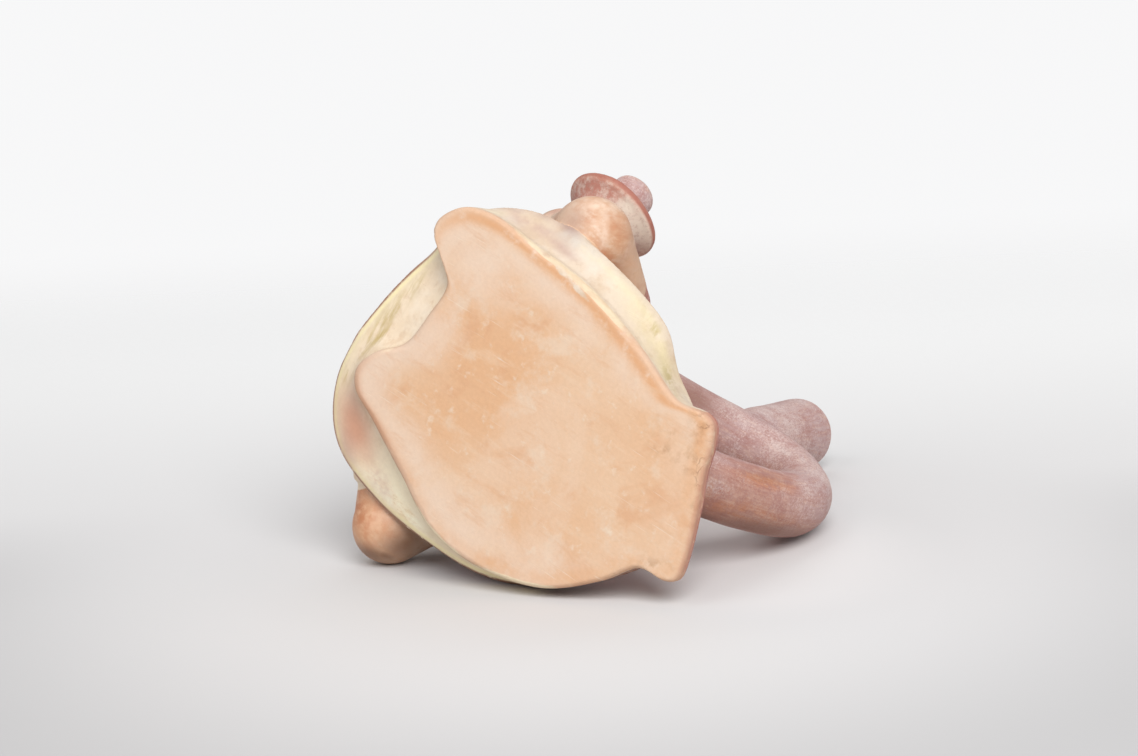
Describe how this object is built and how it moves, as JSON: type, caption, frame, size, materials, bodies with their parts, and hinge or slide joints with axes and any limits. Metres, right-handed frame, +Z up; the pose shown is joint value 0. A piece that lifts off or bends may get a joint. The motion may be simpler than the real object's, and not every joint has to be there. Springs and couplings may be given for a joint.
{
  "type": "stirrup spout bottle",
  "caption": "Ceramic bottle shaped as a seated figure in a wide tunic holding a club, with a hollow looped handle behind it that carries an upright pouring spout.",
  "frame": {"origin": "on the flat base, under the middle of the body", "axes": "+Z up along the spout, the figure looks along -Y, +X is the figure's left"},
  "size_m": [0.1872, 0.1912, 0.2296],
  "materials": {
    "bare_clay": "matte, unslipped fired clay",
    "cream_slip": "matte, worn cream slip",
    "red_slip": "matte, worn red-brown slip",
    "burnished_clay": "satin, burnished orange clay",
    "dusty_slip": "matte, dusty purple-red slip"
  },
  "bodies": {
    "root": {"base_slab": "bare_clay", "front_shell": "red_slip", "back_shell": "red_slip", "head": "burnished_clay", "crown": "red_slip", "headband": "cream_slip", "left_ear_spool": "cream_slip", "right_ear_spool": "cream_slip", "stirrup_lower_limb": "dusty_slip", "stirrup_upper_limb": "dusty_slip", "spout": "dusty_slip", "left_arm": "burnished_clay", "left_cuff": "cream_slip", "left_hand": "burnished_clay", "right_arm": "burnished_clay", "right_cuff": "cream_slip", "right_hand": "burnished_clay", "club_shaft": "burnished_clay", "club_head": "red_slip", "club_tip": "dusty_slip"}
  },
  "joints": []
}
